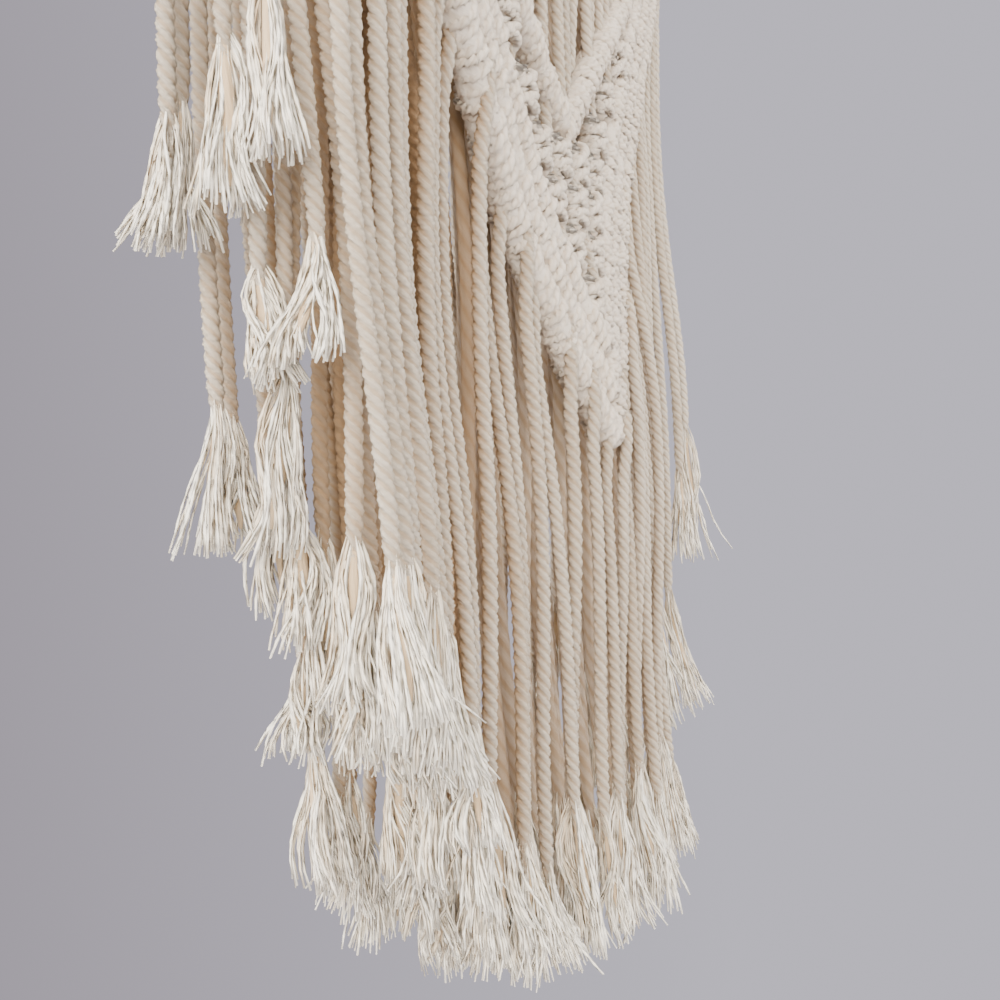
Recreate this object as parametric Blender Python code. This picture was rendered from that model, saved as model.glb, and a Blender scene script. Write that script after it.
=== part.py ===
"""Macrame wall hanging: a knotted front panel with a stepped V fringe, and plain fringe layers behind.

Frame: X runs along the width, -Y is the front, +Z is up, and the origin is the middle of the top edge.
"""
import math

import bmesh
import bpy
from mathutils import Vector

# ---- driving dimensions, in metres ----
CORD = 0.0045                # diameter of the twisted cotton cord
STRANDS = 32                 # cords hanging side by side in each layer
STRAND_PITCH = 0.0103        # their mean spacing along the width
BUNCHING = 0.08              # how much closer they hang towards the sides, as a share of it
BACK_LAYERS = 3              # plain fringe layers behind the front panel
LAYER_PITCH = 0.013          # spacing of the layers, front to back
HEADING_RADIUS = 0.00635     # the knotted heading roll of each layer
HEADING_VALLEY = 0.0054      # and between its knots
V_POINT = -0.228             # height of the V's lowest row at the middle
ARM_SLOPE = 1.2              # rise of each arm of the V over its run
ARM_ROWS = 3                 # double half hitch rows in each arm of the V
ROW_RISE = 0.0145            # vertical spacing of those rows
ROW_RADIUS = 0.0058          # a hitch row's radius over its ridges
ROW_VALLEY = 0.0046          # and between them
CORD_STEP = 0.065            # length of one straight stretch of a hanging cord
KITE_WIDTH = 0.097           # half width of the knotted kite where the arms meet
KITE_TOP = 0.096             # height of its inner corner over the V's point
FRAY_LEFT = 0.030            # usual length of an unravelled end at the left side
FRAY_RIGHT = 0.044           # and at the right
FRAY_SPREAD = 0.25           # how much longer or shorter some are, as a share of it
FRAY_WIDTH = 0.0034          # its half width along the hanging
FRAY_DEPTH = 0.0043          # and its half depth
SWAY_X = 0.0008              # how far a cord wanders sideways
SWAY_Y = 0.0016              # and to the front or back

HALF_WIDTH = STRANDS * STRAND_PITCH / 2
HITCH = STRAND_PITCH * math.hypot(1, ARM_SLOPE)   # one double half hitch for each cord a row crosses
HEADING_KNOT = 2 * STRAND_PITCH               # one looped-over pair of cords in the heading
FRONT_Y = -BACK_LAYERS * LAYER_PITCH / 2
HEADING_Z = -HEADING_RADIUS * math.cos(math.pi / 6)
SQUARE = CORD * math.sqrt(math.pi) / 4        # half side of a square with the cord's area
TRIANGLE = CORD * 0.62                        # corner radius of a triangle, a little over the cord's

# How the panel bows: distance along the width, and the shift towards the back.
BOW = (
    (-0.165, 0.0000),
    (-0.103, 0.0070),
    (-0.056, 0.0030),
    (-0.028, -0.0040),
    (0.000, -0.0090),
    (0.067, -0.0060),
    (0.133, 0.0060),
    (0.143, 0.0020),
    (0.152, -0.0010),
    (0.165, -0.0030),
)
BOW_START = -0.120           # height where the bow begins
BOW_FULL = -0.220            # height where it is complete
BOW_SHARE = (1.0, 0.5, 0.25, 0.0)             # how much of it each layer follows, front to back
SPLAY = 0.003                # how far the outer layers stand apart again at the bottom
SPLAY_START = -0.150         # height where they begin to
SPLAY_FULL = -0.300          # and where they are fully apart

# How far the cords at the left edge swing to the back, from the edge inwards, for each layer from the
# front to the back.
EDGE_SWING = (
    (),
    (0.0030, 0.0010),
    (0.0030, 0.0015),
    (0.0020, 0.0030, 0.0045, 0.0053, 0.0048, 0.0030, 0.0025, 0.0030, 0.0020, 0.0010),
)

# Where the fringe is cut: up to this cord from the left, a height over the V's point for each layer.
FRINGE_ENDS = (
    (0, -0.050, 0.063, 0.059, 0.051),
    (1, -0.051, 0.022, 0.020, 0.053),
    (2, -0.056, -0.051, -0.020, -0.014),
    (3, -0.067, -0.062, -0.042, -0.016),
    (4, -0.076, -0.066, -0.056, -0.036),
    (5, -0.084, -0.076, -0.070, -0.076),
    (6, -0.098, -0.087, -0.075, -0.110),
    (7, -0.113, -0.112, -0.110, -0.114),
    (8, -0.122, -0.117, -0.123, -0.121),
    (9, -0.133, -0.137, -0.136, -0.134),
    (12, -0.150, -0.145, -0.146, -0.140),
    (15, -0.149, -0.157, -0.160, -0.162),
    (20, -0.158, -0.156, -0.157, -0.160),
    (22, -0.155, -0.155, -0.153, -0.148),
    (25, -0.160, -0.147, -0.138, -0.130),
    (27, -0.116, -0.112, -0.109, -0.099),
    (29, -0.115, -0.084, -0.074, -0.060),
    (31, -0.058, -0.045, -0.027, 0.010),
)
END_JITTER = 0.003           # how unevenly the ends of one step are cut
FRAY_LEAN = (-0.0025, -0.0005, 0.0010, 0.0035)   # how far a layer's cut ends lean to the back
FRAY_OUT = 0.003             # and outwards at the sides

# How much further to the back the front layer's last cut ends lean, from the right edge inwards.
RIGHT_LEAN = (0.0, 0.0010, -0.0055, -0.0015, 0.0, 0.0, -0.0040, -0.0015)

# Square knots: distance along the width, height over the V's point, half width, half height.
# Those in the kite alternate from one level to the next; the last pair closes its outer corners.
SQUARE_KNOTS = (
    (0.0000, 0.0440, 0.0085, 0.0064),
    (0.0103, 0.0580, 0.0085, 0.0064),
    (-0.0103, 0.0580, 0.0085, 0.0064),
    (0.0000, 0.0720, 0.0085, 0.0064),
    (0.0206, 0.0720, 0.0085, 0.0064),
    (-0.0206, 0.0720, 0.0085, 0.0064),
    (0.0103, 0.0860, 0.0085, 0.0064),
    (-0.0103, 0.0860, 0.0085, 0.0064),
    (0.0309, 0.0860, 0.0085, 0.0064),
    (-0.0309, 0.0860, 0.0085, 0.0064),
    (0.0412, 0.1000, 0.0085, 0.0064),
    (-0.0412, 0.1000, 0.0085, 0.0064),
    (0.0550, 0.1160, 0.0085, 0.0064),
    (-0.0550, 0.1160, 0.0085, 0.0064),
    (0.0770, 0.1340, 0.0095, 0.0075),
    (-0.0770, 0.1340, 0.0095, 0.0075),
)
KNOT_DEPTH = 0.0058          # half depth of a square knot
KNOT_RIDGES = 3              # ridges up the face of a square knot


def clear_scene():
    for thing in list(bpy.data.objects):
        bpy.data.objects.remove(thing, do_unlink=True)


def ease(share):
    share = min(1.0, max(0.0, share))
    return share * share * (3 - 2 * share)


def bow_at(x):
    """Shift towards the back of the panel at one place along its width."""
    for (x0, y0), (x1, y1) in zip(BOW, BOW[1:]):
        if x <= x1:
            return y0 + (y1 - y0) * ease((x - x0) / (x1 - x0))
    return BOW[-1][1]


def layer_y(layer, x, z):
    """Depth of one layer at a place on it."""
    growth = ease((BOW_START - z) / (BOW_START - BOW_FULL))
    spread = SPLAY * ease((SPLAY_START - z) / (SPLAY_START - SPLAY_FULL))
    place = FRONT_Y + layer * LAYER_PITCH
    return place * (1 - spread / FRONT_Y) + BOW_SHARE[layer] * growth * bow_at(x)


def strand_x(index):
    """Place of one cord along the width: the cords hang closer together towards the sides."""
    share = (index - (STRANDS - 1) / 2) / (STRANDS / 2)
    return HALF_WIDTH * ((1 + BUNCHING) * share - BUNCHING * share ** 3)


def strand_point(layer, index, z):
    """Centre of one cord at one height, with the small wander that keeps the cords from lying in rows."""
    x = strand_x(index)
    loose = ease((HEADING_Z - 0.02 - z) / 0.08)
    phase = 2.4 * index + 1.7 * layer
    x_wander = SWAY_X * math.sin(26 * z + phase)
    y_wander = SWAY_Y * math.sin(31 * z + 2.6 * phase) + edge_swing(layer, index)
    return Vector((x + loose * x_wander, layer_y(layer, x, z) + loose * y_wander, z))


def edge_swing(layer, index):
    return EDGE_SWING[layer][index] if index < len(EDGE_SWING[layer]) else 0.0


def fray_length(layer, index):
    usual = FRAY_LEFT + (FRAY_RIGHT - FRAY_LEFT) * index / (STRANDS - 1)
    return usual * (1 + FRAY_SPREAD * math.sin(2.7 * index + 1.3 * layer))


def fray_lean(layer, index):
    """How far the cut end of one cord leans sideways and to the back."""
    share = strand_x(index) / HALF_WIDTH
    from_right = STRANDS - 1 - index
    more = RIGHT_LEAN[from_right] if layer == 0 and from_right < len(RIGHT_LEAN) else 0.0
    return Vector((FRAY_OUT * share ** 5, FRAY_LEAN[layer] + more, 0))


def strand_end(layer, index):
    """Height where one cord is cut."""
    height = next(row[1 + layer] for row in FRINGE_ENDS if index <= row[0])
    return V_POINT + height + END_JITTER * math.sin(5.3 * index + 2.1 * layer)


def arm_height(x, row):
    """Centre height of one hitch row of the V."""
    return V_POINT + row * ROW_RISE + ARM_SLOPE * abs(x)


def skin(mesh, rings):
    """Close a run of rings, each with the same number of points, into one solid."""
    loops = [[mesh.verts.new(point) for point in ring] for ring in rings]
    for lower, upper in zip(loops, loops[1:]):
        for side in range(len(lower)):
            following = (side + 1) % len(lower)
            mesh.faces.new((lower[side], lower[following], upper[following], upper[side]))
    mesh.faces.new(list(reversed(loops[0])))
    mesh.faces.new(loops[-1])


def level_ring(centre, half_x, half_y, sides):
    """A level ring of points around a cord that hangs down."""
    turn = math.pi / sides if sides == 4 else math.pi / 2
    reach = math.sqrt(2) if sides == 4 else 1.0
    angles = [turn + 2 * math.pi * side / sides for side in range(sides)]
    return [centre + Vector((reach * half_x * math.cos(a), reach * half_y * math.sin(a), 0)) for a in angles]


def hanging_cord(mesh, layer, index, top, bottom, frayed, sides):
    """One cord from its root down, with its unravelled end if it has one."""
    half = SQUARE if sides == 4 else TRIANGLE
    widen = 1.0 if sides == 4 else TRIANGLE / SQUARE
    fray = fray_length(layer, index)
    sound_end = bottom + fray if frayed else bottom
    steps = max(1, round((top - sound_end) / CORD_STEP))
    heights = [top + (sound_end - top) * step / steps for step in range(steps + 1)]
    rings = [level_ring(strand_point(layer, index, z), half, half, sides) for z in heights]
    if frayed:
        middle = strand_point(layer, index, bottom + fray * 0.45) + 0.4 * fray_lean(layer, index)
        rings.append(level_ring(middle, FRAY_WIDTH * 0.8, FRAY_DEPTH * 0.85, sides))
        tip = strand_point(layer, index, bottom) + fray_lean(layer, index)
        rings.append(level_ring(tip, FRAY_WIDTH * widen, FRAY_DEPTH * widen, sides))
    skin(mesh, list(reversed(rings)))


def ridged_bar(mesh, route, ridge, valley, hitch, sides):
    """A knotted row along a route: the radius swells and sinks with each hitch."""
    length = sum((b - a).length for a, b in zip(route, route[1:]))
    beats = 2 * round(length / hitch)
    rings = []
    for beat in range(beats + 1):
        place = beat / beats * (len(route) - 1)
        cell = min(int(place), len(route) - 2)
        centre = route[cell].lerp(route[cell + 1], place - cell)
        along = (route[cell + 1] - route[cell]).normalized()
        up = Vector((0, 1, 0)).cross(along).normalized()
        out = along.cross(up)
        radius = ridge if beat % 2 else valley
        angles = [2 * math.pi * (side + 0.5) / sides for side in range(sides)]
        rings.append([centre + radius * (math.cos(a) * up + math.sin(a) * out) for a in angles])
    skin(mesh, rings)


def square_knot(mesh, x, height, half_width, half_height):
    """A rounded square knot with level ridges up its face."""
    sides = 6
    beats = 2 * KNOT_RIDGES
    centre_z = V_POINT + height
    rings = []
    for beat in range(beats + 1):
        share = beat / beats
        z = centre_z + half_height * (2 * share - 1)
        swell = 0.62 if beat in (0, beats) else (1.0 if beat % 2 else 0.84)
        centre = Vector((x, layer_y(0, x, z), z))
        angles = [2 * math.pi * (side + 0.5) / sides for side in range(sides)]
        rings.append([
            centre + Vector((swell * half_width * math.cos(a), swell * KNOT_DEPTH * math.sin(a), 0))
            for a in angles])
    skin(mesh, rings)


def add_object(name, fill, material, cutter=None):
    """Make one object, whose mesh the fill function builds. A cutter goes into its own collection."""
    mesh = bmesh.new()
    fill(mesh)
    bmesh.ops.recalc_face_normals(mesh, faces=mesh.faces)
    data = bpy.data.meshes.new(name)
    mesh.to_mesh(data)
    mesh.free()
    data.materials.append(material)
    thing = bpy.data.objects.new(name, data)
    if cutter:
        thing.hide_render = True
        thing.display_type = 'WIRE'
        cutter.objects.link(thing)
    else:
        bpy.context.collection.objects.link(thing)
    return thing


def join(thing, cutters):
    """Fuse one object with everything in a collection of cutters."""
    fuse = thing.modifiers.new("fuse", 'BOOLEAN')
    fuse.operation = 'UNION'
    fuse.operand_type = 'COLLECTION'
    fuse.collection = cutters
    fuse.solver = 'EXACT'


def cotton(name, colour):
    material = bpy.data.materials.new(name)
    material.use_nodes = True
    shader = material.node_tree.nodes["Principled BSDF"]
    shader.inputs["Base Color"].default_value = (*colour, 1)
    shader.inputs["Roughness"].default_value = 0.9
    shader.inputs["Metallic"].default_value = 0.0
    return material


def heading_route(layer):
    y = FRONT_Y + layer * LAYER_PITCH
    return [Vector((-HALF_WIDTH, y, HEADING_Z)), Vector((HALF_WIDTH, y, HEADING_Z))]


def arm_route(side, row):
    """Centre line of one hitch row, from the V's middle out to the panel's edge."""
    reach = min(HALF_WIDTH - 0.003, (HEADING_Z - 0.003 - arm_height(0, row)) / ARM_SLOPE)
    points = 24
    xs = [side * reach * step / points for step in range(points + 1)]
    return [Vector((x, layer_y(0, x, arm_height(x, row)), arm_height(x, row))) for x in xs]


def kite_route(side):
    """Centre line of one upper edge of the kite, from its inner corner out to the arm."""
    points = 10
    low = V_POINT + KITE_TOP
    high = arm_height(KITE_WIDTH, ARM_ROWS)
    route = []
    for step in range(points + 1):
        share = step / points
        x = side * KITE_WIDTH * share
        z = low + (high - low) * share
        route.append(Vector((x, layer_y(0, x, z), z)))
    return route


def top_row_route(side):
    """The kite's upper edge goes on along the arm as one more hitch row, up to the heading."""
    points = 12
    reach = (HEADING_Z - 0.003 - arm_height(0, ARM_ROWS)) / ARM_SLOPE
    xs = [side * (KITE_WIDTH + (reach - KITE_WIDTH) * step / points) for step in range(points + 1)]
    return [Vector((x, layer_y(0, x, arm_height(x, ARM_ROWS)), arm_height(x, ARM_ROWS))) for x in xs]


def front_cords(mesh):
    """Every cord of the front panel, above and below the V."""
    for index in range(STRANDS):
        x = strand_x(index)
        hanging_cord(mesh, 0, index, HEADING_Z, arm_height(x, ARM_ROWS - 1), False, 4)
        hanging_cord(mesh, 0, index, arm_height(x, 0), strand_end(0, index), True, 4)


def build_front(material):
    """The knotted panel: its cords joined by the heading, the V's rows and the kite."""
    cutters = bpy.data.collections.new("knots_of_front_panel")
    panel = add_object("front_panel", front_cords, material)
    add_object(
        "join_heading",
        lambda m: ridged_bar(m, heading_route(0), HEADING_RADIUS, HEADING_VALLEY, HEADING_KNOT, 6),
        material, cutters)
    for side in (-1, 1):
        for row in range(ARM_ROWS):
            add_object(
                f"join_arm_{side}_{row}",
                lambda m, s=side, r=row: ridged_bar(m, arm_route(s, r), ROW_RADIUS, ROW_VALLEY, HITCH, 5),
                material, cutters)
        add_object(
            f"join_kite_{side}",
            lambda m, s=side: ridged_bar(
                m, kite_route(s) + top_row_route(s)[1:], ROW_RADIUS, ROW_VALLEY, HITCH, 5),
            material, cutters)
    for number, (x, height, half_width, half_height) in enumerate(SQUARE_KNOTS):
        add_object(
            f"join_knot_{number}",
            lambda m, a=(x, height, half_width, half_height): square_knot(m, *a),
            material, cutters)
    join(panel, cutters)


def build_back(layer, material):
    """One plain fringe layer: its heading roll joined to its cords."""
    def cords(mesh):
        for index in range(STRANDS):
            hanging_cord(mesh, layer, index, HEADING_Z, strand_end(layer, index), True, 3)

    cutters = bpy.data.collections.new(f"heading_of_back_fringe_{layer}")
    fringe = add_object(f"back_fringe_{layer}", cords, material)
    add_object(
        f"join_back_heading_{layer}",
        lambda m: ridged_bar(m, heading_route(layer), HEADING_RADIUS, HEADING_VALLEY, HEADING_KNOT, 6),
        material, cutters)
    join(fringe, cutters)


def main():
    clear_scene()
    build_front(cotton("front cotton", (0.80, 0.74, 0.64)))
    for layer in range(1, BACK_LAYERS + 1):
        build_back(layer, cotton(f"back cotton {layer}", (0.78, 0.70, 0.58)))


main()
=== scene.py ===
"""The looks of the macrame wall hanging: laid cotton cords, hitched rows, square knots and unravelled ends.

Frame: X runs along the width, -Y is the front, +Z is up, and the origin is the middle of the top edge.
Lengths are metres. The first block repeats the driving dimensions of the solids.
"""
import math

import bmesh
import bpy
import numpy as np
from mathutils import Matrix, Vector


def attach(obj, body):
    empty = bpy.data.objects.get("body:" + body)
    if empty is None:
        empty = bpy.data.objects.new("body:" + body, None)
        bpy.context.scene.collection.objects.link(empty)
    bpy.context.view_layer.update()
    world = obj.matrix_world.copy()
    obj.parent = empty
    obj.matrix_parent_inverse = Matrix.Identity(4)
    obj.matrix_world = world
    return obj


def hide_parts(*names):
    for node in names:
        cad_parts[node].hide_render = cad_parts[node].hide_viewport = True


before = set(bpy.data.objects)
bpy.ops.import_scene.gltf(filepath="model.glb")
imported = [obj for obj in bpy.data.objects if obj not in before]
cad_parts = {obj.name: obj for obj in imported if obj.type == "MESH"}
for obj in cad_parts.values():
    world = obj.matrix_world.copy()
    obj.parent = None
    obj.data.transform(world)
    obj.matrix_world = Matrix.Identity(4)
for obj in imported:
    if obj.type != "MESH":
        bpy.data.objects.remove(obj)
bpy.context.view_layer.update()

# ---- the hanging's own dimensions ----
CORD = 0.0045                # diameter of the twisted cotton cord
STRANDS = 32                 # cords hanging side by side in each layer
STRAND_PITCH = 0.0103        # their mean spacing along the width
BUNCHING = 0.08              # how much closer they hang towards the sides, as a share of it
BACK_LAYERS = 3              # plain fringe layers behind the front panel
LAYER_PITCH = 0.013          # spacing of the layers, front to back
HEADING_RADIUS = 0.00635     # the knotted heading roll of each layer
V_POINT = -0.228             # height of the V's lowest row at the middle
ARM_SLOPE = 1.2              # rise of each arm of the V over its run
ARM_ROWS = 3                 # double half hitch rows in each arm of the V
ROW_RISE = 0.0145            # vertical spacing of those rows
ROW_RADIUS = 0.0058          # a hitch row's radius over its wraps
KITE_WIDTH = 0.097           # half width of the knotted kite where the arms meet
KITE_TOP = 0.096             # height of its inner corner over the V's point
FRAY_LEFT = 0.030            # usual length of an unravelled end at the left side
FRAY_RIGHT = 0.044           # and at the right
FRAY_SPREAD = 0.25           # how much longer or shorter some are, as a share of it
SWAY_X = 0.0008              # how far a cord wanders sideways
SWAY_Y = 0.0016              # and to the front or back
WANDER_START = 0.02          # how far under the heading a cord begins to wander
WANDER_GROWTH = 0.08         # length in which its wander grows to the full
MILLIMETRE = 0.001
NOTHING = 1e-6
HALF_WIDTH = STRANDS * STRAND_PITCH / 2
FRONT_Y = -BACK_LAYERS * LAYER_PITCH / 2
HEADING_Z = -HEADING_RADIUS * math.cos(math.pi / 6)

# How the panel bows: distance along the width, and the shift towards the back.
BOW = (
    (-0.165, 0.0000),
    (-0.103, 0.0070),
    (-0.056, 0.0030),
    (-0.028, -0.0040),
    (0.000, -0.0090),
    (0.067, -0.0060),
    (0.133, 0.0060),
    (0.143, 0.0020),
    (0.152, -0.0010),
    (0.165, -0.0030),
)
BOW_START = -0.120           # height where the bow begins
BOW_FULL = -0.220            # height where it is complete
BOW_SHARE = (1.0, 0.5, 0.25, 0.0)             # how much of it each layer follows, front to back
SPLAY = 0.003                # how far the outer layers stand apart again at the bottom
SPLAY_START = -0.150         # height where they begin to
SPLAY_FULL = -0.300          # and where they are fully apart

# How far the cords at the left edge swing to the back, from the edge inwards, for each layer from the
# front to the back.
EDGE_SWING = (
    (),
    (0.0030, 0.0010),
    (0.0030, 0.0015),
    (0.0020, 0.0030, 0.0045, 0.0053, 0.0048, 0.0030, 0.0025, 0.0030, 0.0020, 0.0010),
)

# Where the fringe is cut: up to this cord from the left, a height over the V's point for each layer.
FRINGE_ENDS = (
    (0, -0.050, 0.063, 0.059, 0.051),
    (1, -0.051, 0.022, 0.020, 0.053),
    (2, -0.056, -0.051, -0.020, -0.014),
    (3, -0.067, -0.062, -0.042, -0.016),
    (4, -0.076, -0.066, -0.056, -0.036),
    (5, -0.084, -0.076, -0.070, -0.076),
    (6, -0.098, -0.087, -0.075, -0.110),
    (7, -0.113, -0.112, -0.110, -0.114),
    (8, -0.122, -0.117, -0.123, -0.121),
    (9, -0.133, -0.137, -0.136, -0.134),
    (12, -0.150, -0.145, -0.146, -0.140),
    (15, -0.149, -0.157, -0.160, -0.162),
    (20, -0.158, -0.156, -0.157, -0.160),
    (22, -0.155, -0.155, -0.153, -0.148),
    (25, -0.160, -0.147, -0.138, -0.130),
    (27, -0.116, -0.112, -0.109, -0.099),
    (29, -0.115, -0.084, -0.074, -0.060),
    (31, -0.058, -0.045, -0.027, 0.010),
)
END_JITTER = 0.003           # how unevenly the ends of one step are cut
END_WAVE = (5.3, 2.1)        # phase of that from cord to cord, and from layer to layer
FRAY_WAVE = (2.7, 1.3)       # and of the unravelled ends' length
FRAY_LEAN = (-0.0025, -0.0005, 0.0010, 0.0035)   # how far a layer's cut ends lean to the back
FRAY_OUT = 0.003             # and outwards at the sides

# How much further to the back the front layer's last cut ends lean, from the right edge inwards.
RIGHT_LEAN = (0.0, 0.0010, -0.0055, -0.0015, 0.0, 0.0, -0.0040, -0.0015)

# Square knots: distance along the width, height over the V's point, half width, half height.
SQUARE_KNOTS = (
    (0.0000, 0.0440, 0.0085, 0.0064),
    (0.0103, 0.0580, 0.0085, 0.0064),
    (-0.0103, 0.0580, 0.0085, 0.0064),
    (0.0000, 0.0720, 0.0085, 0.0064),
    (0.0206, 0.0720, 0.0085, 0.0064),
    (-0.0206, 0.0720, 0.0085, 0.0064),
    (0.0103, 0.0860, 0.0085, 0.0064),
    (-0.0103, 0.0860, 0.0085, 0.0064),
    (0.0309, 0.0860, 0.0085, 0.0064),
    (-0.0309, 0.0860, 0.0085, 0.0064),
    (0.0412, 0.1000, 0.0085, 0.0064),
    (-0.0412, 0.1000, 0.0085, 0.0064),
    (0.0550, 0.1160, 0.0085, 0.0064),
    (-0.0550, 0.1160, 0.0085, 0.0064),
    (0.0770, 0.1340, 0.0095, 0.0075),
    (-0.0770, 0.1340, 0.0095, 0.0075),
)
KNOT_DEPTH = 0.0058          # half depth of a square knot
KNOT_TURNS = 4               # turns of cord across it
ARM_MARGIN = 0.003           # how far a hitch row stays from the heading and from the panel's side

# ---- the cord's make-up ----
PLIES = 3
CORD_LEAD = 0.00975          # length in which a ply goes once round the cord
CORD_UNEVEN = 0.05           # how much thicker or thinner some cords are, as a share
PLY_VALLEY = 0.72            # radius at the groove between plies, as a share of the cord's
PLY_ROUNDNESS = 0.6          # less than one gives full plies with narrow grooves
WRAP_RADIUS = 0.0019         # a cord pulled tight in a knot
WRAP_LEAD = 0.0080
WRAP_PITCH = 0.0038          # spacing of the turns along a hitch row
ROW_CORE = 0.0050            # radius of a hitch row between its turns
ROW_CORE_LEAD = 0.03
CORE_TONE = 0.4              # tone of what lies under the turns of a row or a knot
COLOUR_SPAN = 50             # cords take their fibres from anywhere in this many millimetres of the pattern
LAY_LENGTH = 8               # how much longer than wide the fibres of the pattern are

# The waves in which a cord wanders: radians for each metre of height, for each cord and for each layer.
SWAY_WAVE_X = (26, 2.4, 1.7)
SWAY_WAVE_Y = (31, 6.24, 4.42)
DRIFT_X = 0.0021             # slow drift that gathers the cords in loose groups
DRIFT_Y = 0.0020             # and the same to the front and back
DRIFT_WAVES_X = ((11, 1.1, 2), (24, 2.9, 0))
DRIFT_WAVES_Y = ((9, 2.3, 1), (21, 4.1, 0))
SECOND_WAVE = 0.5            # size of the second wave of a drift
DRIFT_CORDS = 8              # cords from the edge to where the drift is complete

# Painted shade, from 0 for a surface on the outside to 1 for one deep between the layers, where shade falls.
PAINTED_SHADE_CORDS = 7            # cords from the edge to where the painted shade is complete
OPEN_SHARE = 0.55            # share of it that is lost where the bow holds the layers apart
OPEN_FROM = 8                # the first cord where they part, from the left
OPEN_CORDS = 5               # and cords on to where they are apart
PAINTED_SHADE_FADE = 0.02          # length over a neighbour's cut end in which the painted shade it gives ends
WRAP_PAINTED_SHADE = 0.4           # painted shade at the side of a turn of cord

# ---- the unravelled ends ----
UNLAY = 0.014                # length in which a cord draws in as its plies come apart
DRAWN_IN = 0.5               # and how far, as a share of its radius
YARN_RADIUS = 0.00038        # one yarn
YARN_UNEVEN = (0.75, 1.35)
YARN_STEPS = 8               # straight stretches of it
YARN_ROOT = 0.3              # its thickness at the root, as a share
YARN_SWELL = 6               # it is full after one part in so many of its length
YARN_GROWTH = 0.2            # how much it thickens on the way
YARN_PARTS = 0.8             # where along it the last fibres begin to part
YARN_THINS = 0.4             # and how much thinner it is at the cut
YARN_TUCK = 0.004            # how far over the fray the first yarn starts, inside the cord
YARN_START = 0.007           # the yarns leave the cord one after another in this length
CUT_UNEVEN = (-0.003, 0.002)  # how much shorter or longer a yarn is cut
BRUSH_ROOT = 0.0013          # radius of a brush of yarns inside the cord
BRUSH_TIP = 0.0053           # and at the cut
BRUSH_UNEVEN = (0.75, 1.2)
LEFT_BRUSHES = 9             # brushes at the left side that are wider
WIDE_BRUSHES = 1.4           # and by how much
BRUSH_LEAN = 0.0021          # how far a brush may lean to one side, besides its layer's lean
LEAN_CURVE = 1.5             # more than one has a brush lean most at its cut
UPRIGHT_FROM = 2             # cords from the edge to the last that leans fully to the back, in the rear layers
UPRIGHT_CORDS = 3            # and cords on to the first that hangs upright
CORE_TUCK = 0.002            # how far over the fray the core of a brush starts
CORE_LENGTH = 0.86           # length of the dense core of a brush, as a share of the fray
CORE_YARNS = 9               # yarns round the core
CORE_STEPS = 16              # rings in one lead of it
CORE_LEAD = 0.095            # length in which its yarns would go once round it
CORE_ROOT = 0.5              # its radius at the root, as a share of the brush's there
CORE_GROWTH = 0.9            # and how much that grows
CORE_CLOSES = 0.55           # where along it the core begins to draw in
CORE_CLOSED = 0.85           # and how far it has at its end
CLUMPS = 6                   # the loose yarns stay together in this many clumps
CLUMP_PLACE = 0.4            # how far a clump may be out of its place in the round, as a share of it
CLUMP_SPREAD = (0.65, 1.25)  # how wide a clump stands, as a share of its brush
CLUMP_OPENING = (0.7, 1.3)   # less than one has it open at once, more has it open late
CLUMP_WIDTH = 0.26           # angle over which its yarns are spread
CLUMP_CURL = 0.0013          # how far a clump curls away from a straight line
CURL_HALF_WAVES = (1.2, 2.2)
YARN_INSET = (0.35, 1.1)     # square of a yarn's place between the middle and the clump's outside
INSET_PAINTED_SHADE = 0.6          # painted shade of a yarn in the middle
YARN_STRAY = 0.0009          # how far a yarn strays from its clump at the cut
WILD_SHARE = 0.10            # some yarns stray further, and keep a wider wave
WILD_STRAY = 0.0034
WILD_WAVE = 2.0
TAME_WAVE = (0.5, 1.5)
YARN_WAVE = 0.0005           # the wave that the twist leaves in a yarn
YARN_WAVE_LENGTH = 0.030
YARN_PHASE = 0.35            # how far a yarn's wave is out of step with its clump's
BETWEEN_LAYERS_SHADE = 0.4                # painted shade of the yarns that face the next layer
BEHIND_SHADE = 0.2                 # and of whole brushes behind the front ones
BEHIND_SHADE_CORDS = 8             # cords from the edge to where that is complete
FULL_BRUSHES = 14            # brushes at the left with more yarns
CLUMP_YARNS = 9              # yarns in each of their clumps
FEW_CLUMP_YARNS = 5          # and in those of the others

# ---- looks ----
# Painted light and shade: colours lit, shaded, and deep inside between the layers, where shade falls.
CORD_COLOURS = ((0.745, 0.655, 0.53), (0.53, 0.415, 0.29), (0.47, 0.29, 0.145))
KNOT_COLOURS = ((0.78, 0.69, 0.58), (0.68, 0.575, 0.455), (0.65, 0.51, 0.37))
TASSEL_COLOURS = ((0.98, 0.915, 0.785), (0.79, 0.625, 0.42), (0.56, 0.40, 0.23))
CORD_RELIEF = 0.0009         # how far the fibres stand out
KNOT_RELIEF = 0.0005
YARN_RELIEF = 0.0004
COTTON_ROUGHNESS = 0.95
FLOOR_COLOUR = (0.75, 0.74, 0.73)
FLOOR_DEPTH = 1.2            # the floor lies this far under the top edge
FLOOR_RADIUS = 1.2
FLOOR_SIDES = 64

# ---- where the camera stands ----
CAMERA_PLACE = Vector((-0.426, -0.115 + FRONT_Y, V_POINT + 0.0136))
CAMERA_HEADING = Vector((0.950, 0.313, 0.0))
CAMERA_PITCH = math.radians(4)
CAMERA_ROLL = math.radians(3)
CAMERA_LENS = 50.4
CAMERA_SENSOR = 36.0
CAMERA_NEAR = 0.01

# ---- the room and its light ----
ROOM_DIM = (0.42, 0.385, 0.445)
ROOM_LIGHT = (0.655, 0.63, 0.72)
ROOM_SIDE = (0.313, -0.950, 0)                # direction in which the room gets lighter
ROOM_SPAN = (-0.34, 0.14)    # and the part of it in which it does
LIGHT_TINT = (1.0, 0.965, 0.91)
LIGHT_SIZE = 1.3
LIGHT_AIM = Vector((0, 0, -0.2))
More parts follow.
